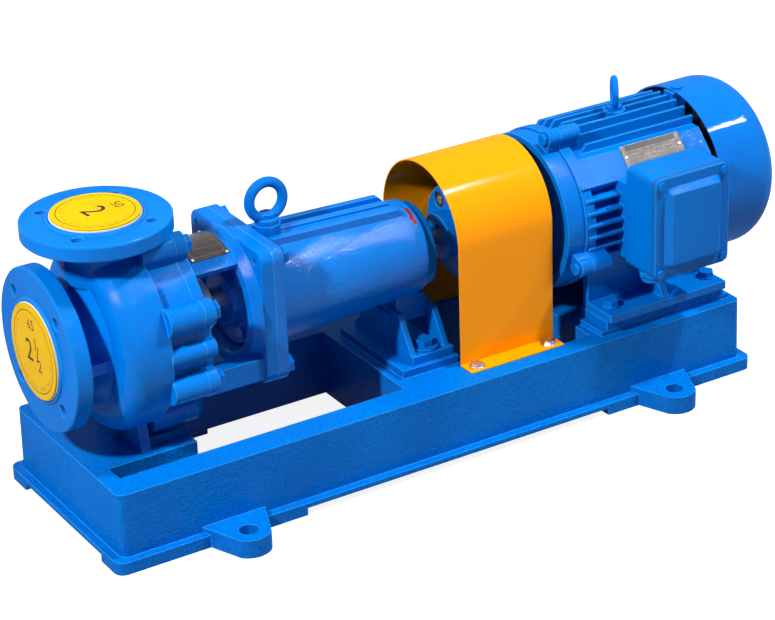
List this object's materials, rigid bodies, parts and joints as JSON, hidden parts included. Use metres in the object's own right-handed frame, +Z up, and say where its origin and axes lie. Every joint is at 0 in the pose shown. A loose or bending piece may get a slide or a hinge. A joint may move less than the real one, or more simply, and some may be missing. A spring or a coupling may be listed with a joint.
{
  "type": "lined chemical centrifugal pump set",
  "caption": "Lined chemical centrifugal pump with flanged ports, lantern, bearing housing, guarded pin coupling and finned foot motor on a cast base plate with foundation lugs.",
  "frame": {"origin": "on the floor, in the middle of the four foundation holes", "axes": "+X along the shaft from the suction flange to the motor, +Y to the side away from the terminal box, +Z up"},
  "size_m": [0.9405, 0.3698, 0.3607],
  "materials": {
    "blue_enamel": "gloss blue enamel over cast iron",
    "blue_sheet": "gloss blue enamel over sheet steel",
    "blue_fasteners": "bolts painted over with the blue enamel",
    "orange_enamel": "gloss orange-yellow enamel over sheet steel",
    "yellow_cap": "yellow moulded plastic",
    "fluoroplastic": "white fluoroplastic with a faint translucent look",
    "bare_plate": "bare stainless nameplate",
    "stainless_steel": "turned stainless steel",
    "ground_steel": "ground steel",
    "zinc_steel": "zinc-plated steel",
    "bearing_steel": "polished bearing steel",
    "seal_ceramic": "sintered seal ceramic",
    "lamination_steel": "stacked electrical sheet",
    "copper_winding": "varnished copper winding heads",
    "black_plastic": "black moulded plastic",
    "black_rubber": "black rubber bush"
  },
  "bodies": {
    "root": {"pump_casing": "blue_enamel", "casing_lining": "fluoroplastic", "cover_lining": "fluoroplastic", "casing_cover": "blue_enamel", "casing_bolts": "blue_fasteners", "pump_foot_bolts": "blue_fasteners", "lantern": "blue_enamel", "pump_nameplate": "bare_plate", "lantern_bolts": "blue_fasteners", "seal_gland": "stainless_steel", "gland_bolts": "stainless_steel", "seal_stationary_ring": "seal_ceramic", "bearing_housing": "blue_enamel", "pump_eye_bolt": "blue_enamel", "front_bearing_cover": "blue_enamel", "rear_bearing_cover": "blue_enamel", "bearing_cover_screws": "blue_fasteners", "housing_support": "blue_enamel", "support_bolts": "blue_fasteners", "pump_bearing_outer_rings": "bearing_steel", "pump_bearing_balls": "bearing_steel", "coupling_guard": "orange_enamel", "guard_screws": "zinc_steel", "base_frame": "blue_enamel", "motor_packing_strips": "blue_enamel", "motor_foot_bolts": "blue_fasteners", "motor_frame": "blue_enamel", "motor_eye_bolt": "blue_enamel", "drive_end_shield": "blue_enamel", "shield_bolts": "blue_fasteners", "fan_end_shield": "blue_enamel", "motor_bearing_outer_rings": "bearing_steel", "motor_bearing_balls": "bearing_steel", "stator_core": "lamination_steel", "stator_windings": "copper_winding", "fan_cover": "blue_sheet", "fan_cover_screws": "blue_fasteners", "terminal_box": "blue_enamel", "terminal_box_lid": "blue_enamel", "terminal_lid_screws": "blue_fasteners", "cable_inlet_plugs": "blue_enamel", "terminal_board": "black_plastic", "motor_nameplate": "bare_plate"},
    "pump_rotor": {"pump_shaft": "ground_steel", "impeller": "fluoroplastic", "impeller_nut": "fluoroplastic", "seal_rotating_unit": "fluoroplastic", "pump_bearing_inner_rings": "bearing_steel", "pump_coupling_half": "blue_enamel", "pump_coupling_key": "ground_steel"},
    "motor_rotor": {"motor_shaft": "ground_steel", "motor_rotor_core": "lamination_steel", "motor_bearing_inner_rings": "bearing_steel", "cooling_fan": "black_plastic", "motor_coupling_half": "blue_enamel", "motor_coupling_key": "ground_steel", "coupling_pins": "ground_steel", "coupling_bushes": "black_rubber"},
    "suction_cap": {"suction_transport_cap": "yellow_cap"},
    "discharge_cap": {"discharge_transport_cap": "yellow_cap"}
  },
  "joints": [
    {"name": "pump_shaft_spin", "type": "hinge", "parent": "root", "child": "pump_rotor", "pos_m": [0, 0, 0.2185], "axis": [1, 0, 0], "continuous": true},
    {"name": "motor_shaft_spin", "type": "hinge", "parent": "root", "child": "motor_rotor", "pos_m": [0.3, 0, 0.2185], "axis": [1, 0, 0], "continuous": true},
    {"name": "suction_cap_slide", "type": "slide", "parent": "root", "child": "suction_cap", "axis": [-1, 0, 0], "range_m": [0, 0.06]},
    {"name": "discharge_cap_slide", "type": "slide", "parent": "root", "child": "discharge_cap", "axis": [0, 0, 1], "range_m": [0, 0.06]}
  ],
  "couplings": [
    {"joint": "pump_shaft_spin", "follows": "motor_shaft_spin", "ratio": 1}
  ]
}
